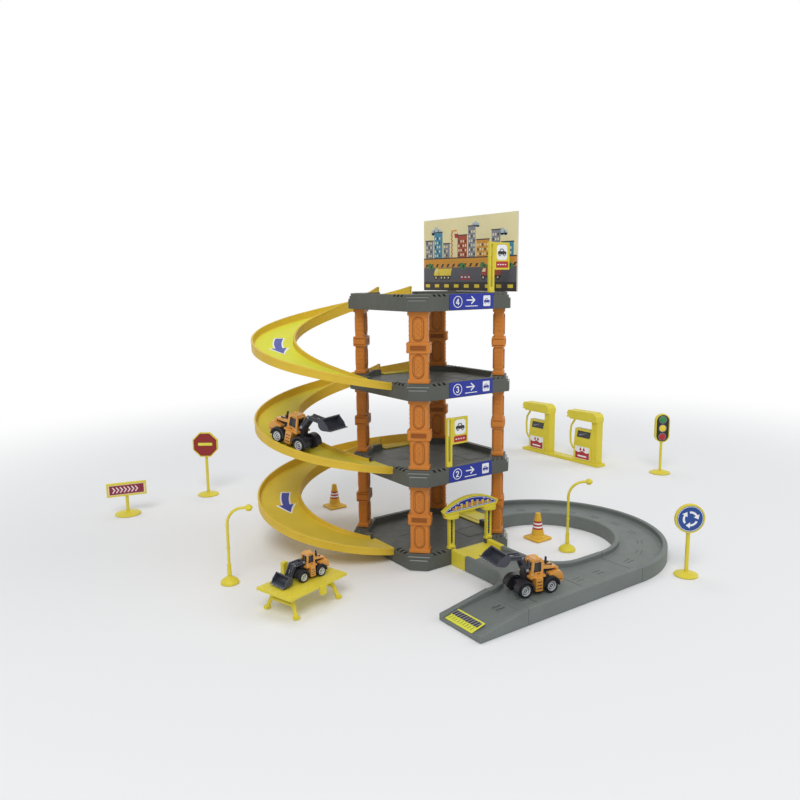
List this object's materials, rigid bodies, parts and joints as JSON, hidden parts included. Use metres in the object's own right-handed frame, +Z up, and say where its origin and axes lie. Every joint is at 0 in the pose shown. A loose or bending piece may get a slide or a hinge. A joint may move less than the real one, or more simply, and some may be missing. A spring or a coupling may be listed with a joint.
{
  "type": "toy parking garage",
  "caption": "Tiered toy car park with a tower of stacked decks, spiral ramps, a looped road with an arch, signs, lamps, a fuel station, a work table and wheel loaders that roll, lift and tilt.",
  "frame": {"origin": "on the ground under the middle of the tower", "axes": "+Z up, +X from the tower's front column to its right column and along the entrance road, +Y from the front column to the left column"},
  "size_m": [0.7224, 0.5698, 0.3513],
  "materials": {
    "deck_grey": "satin",
    "road_grey": "satin",
    "column_orange": "semi-gloss",
    "ramp_yellow": "semi-gloss",
    "sign_yellow": "semi-gloss",
    "card_print": "printed, matt",
    "loader_orange": "gloss enamel",
    "black_plastic": "satin",
    "sticker": "printed, satin",
    "hub_silver": "bright"
  },
  "bodies": {
    "garage": {"deck_1": "deck_grey", "deck_2": "deck_grey", "deck_3": "deck_grey", "deck_4": "deck_grey", "column_1_front": "column_orange", "column_1_right": "column_orange", "column_1_back": "column_orange", "column_1_left": "column_orange", "column_2_front": "column_orange", "column_2_right": "column_orange", "column_2_back": "column_orange", "column_2_left": "column_orange", "column_3_front": "column_orange", "column_3_right": "column_orange", "column_3_back": "column_orange", "column_3_left": "column_orange", "ramp_4_to_3": "ramp_yellow", "ramp_3_to_2": "ramp_yellow", "ramp_2_to_1": "ramp_yellow", "road_entry": "road_grey", "road_junction": "road_grey", "road_curve_front": "road_grey", "road_curve_back": "road_grey", "roundabout_sign": "sign_yellow", "stop_sign": "sign_yellow", "chevron_barrier": "sign_yellow", "traffic_light": "sign_yellow", "street_lamp_left": "sign_yellow", "street_lamp_loop": "sign_yellow", "traffic_cone_loop": "sign_yellow", "traffic_cone_left": "sign_yellow", "fuel_station": "sign_yellow", "work_table": "sign_yellow", "parking_sign_deck": "sign_yellow", "parking_sign_roof": "sign_yellow", "arch_post_left": "sign_yellow", "arch_post_right": "sign_yellow", "arch_board": "sign_yellow", "connector_front": "sign_yellow", "connector_back": "sign_yellow", "billboard": "card_print"},
    "road_loader_body": {"road_loader_chassis": "black_plastic", "road_loader_cab": "loader_orange"},
    "road_loader_arm": {"road_loader_arm": "black_plastic"},
    "road_loader_bucket": {"road_loader_bucket": "black_plastic"},
    "road_loader_front_wheels": {"road_loader_front_wheels": "black_plastic"},
    "road_loader_rear_wheels": {"road_loader_rear_wheels": "black_plastic"},
    "table_loader_body": {"table_loader_chassis": "black_plastic", "table_loader_cab": "loader_orange"},
    "table_loader_arm": {"table_loader_arm": "black_plastic"},
    "table_loader_bucket": {"table_loader_bucket": "black_plastic"},
    "table_loader_front_wheels": {"table_loader_front_wheels": "black_plastic"},
    "table_loader_rear_wheels": {"table_loader_rear_wheels": "black_plastic"},
    "ramp_loader_body": {"ramp_loader_chassis": "black_plastic", "ramp_loader_cab": "loader_orange"},
    "ramp_loader_arm": {"ramp_loader_arm": "black_plastic"},
    "ramp_loader_bucket": {"ramp_loader_bucket": "black_plastic"},
    "ramp_loader_front_wheels": {"ramp_loader_front_wheels": "black_plastic"},
    "ramp_loader_rear_wheels": {"ramp_loader_rear_wheels": "black_plastic"}
  },
  "joints": [
    {"name": "road_loader_roll", "type": "slide", "parent": "garage", "child": "road_loader_body", "axis": [-0.9816, 0.1908, 0], "range_m": [-0.045, 0.001]},
    {"name": "road_loader_arm_lift", "type": "hinge", "parent": "road_loader_body", "child": "road_loader_arm", "pos_m": [-0.02673, -0.17206, 0.03115], "axis": [0.1908, 0.9816, 0], "range_deg": [-34, 6]},
    {"name": "road_loader_bucket_tilt", "type": "hinge", "parent": "road_loader_arm", "child": "road_loader_bucket", "pos_m": [-0.04657, -0.1682, 0.04502], "axis": [0.1908, 0.9816, 0], "range_deg": [-20, 40]},
    {"name": "road_loader_front_spin", "type": "hinge", "parent": "road_loader_body", "child": "road_loader_front_wheels", "pos_m": [-0.03209, -0.17102, 0.01557], "axis": [-0.1908, -0.9816, 0], "range_deg": [-414, 12]},
    {"name": "road_loader_rear_spin", "type": "hinge", "parent": "road_loader_body", "child": "road_loader_rear_wheels", "pos_m": [-0.00551, -0.17618, 0.01557], "axis": [-0.1908, -0.9816, 0], "range_deg": [-414, 12]},
    {"name": "table_loader_roll", "type": "slide", "parent": "garage", "child": "table_loader_body", "axis": [-0.9848, -0.1736, 0], "range_m": [-0.006, 0.02]},
    {"name": "table_loader_arm_lift", "type": "hinge", "parent": "table_loader_body", "child": "table_loader_arm", "pos_m": [-0.1861, -0.05455, 0.0384], "axis": [-0.1736, 0.9848, 0], "range_deg": [0, 66]},
    {"name": "table_loader_bucket_tilt", "type": "hinge", "parent": "table_loader_arm", "child": "table_loader_bucket", "pos_m": [-0.20058, -0.05711, 0.0279], "axis": [-0.1736, 0.9848, 0], "range_deg": [-4, 40]},
    {"name": "table_loader_front_spin", "type": "hinge", "parent": "table_loader_body", "child": "table_loader_front_wheels", "pos_m": [-0.19007, -0.05525, 0.02692], "axis": [0.1736, -0.9848, 0], "range_deg": [-77, 251]},
    {"name": "table_loader_rear_spin", "type": "hinge", "parent": "table_loader_body", "child": "table_loader_rear_wheels", "pos_m": [-0.17042, -0.05179, 0.02692], "axis": [0.1736, -0.9848, 0], "range_deg": [-77, 251]},
    {"name": "ramp_loader_lift", "type": "slide", "parent": "garage", "child": "ramp_loader_body", "axis": [0.0942, -0.2275, 0.9692], "range_m": [0, 0.025]},
    {"name": "ramp_loader_arm_lift", "type": "hinge", "parent": "ramp_loader_body", "child": "ramp_loader_arm", "pos_m": [-0.13305, 0.03161, 0.14062], "axis": [-0.9239, -0.3827, 0], "range_deg": [-30, 6]},
    {"name": "ramp_loader_bucket_tilt", "type": "hinge", "parent": "ramp_loader_arm", "child": "ramp_loader_bucket", "pos_m": [-0.12356, 0.00872, 0.14783], "axis": [-0.9239, -0.3827, 0], "range_deg": [-20, 40]},
    {"name": "ramp_loader_front_spin", "type": "hinge", "parent": "ramp_loader_body", "child": "ramp_loader_front_wheels", "pos_m": [-0.13246, 0.03019, 0.12331], "axis": [0.9239, 0.3827, 0], "continuous": true},
    {"name": "ramp_loader_rear_spin", "type": "hinge", "parent": "ramp_loader_body", "child": "ramp_loader_rear_wheels", "pos_m": [-0.14303, 0.05572, 0.13033], "axis": [0.9239, 0.3827, 0], "continuous": true}
  ],
  "couplings": [
    {"joint": "road_loader_front_spin", "follows": "road_loader_roll", "rad_per_m": 159.49},
    {"joint": "road_loader_rear_spin", "follows": "road_loader_roll", "rad_per_m": 159.49},
    {"joint": "table_loader_front_spin", "follows": "table_loader_roll", "rad_per_m": 216.45},
    {"joint": "table_loader_rear_spin", "follows": "table_loader_roll", "rad_per_m": 216.45}
  ]
}
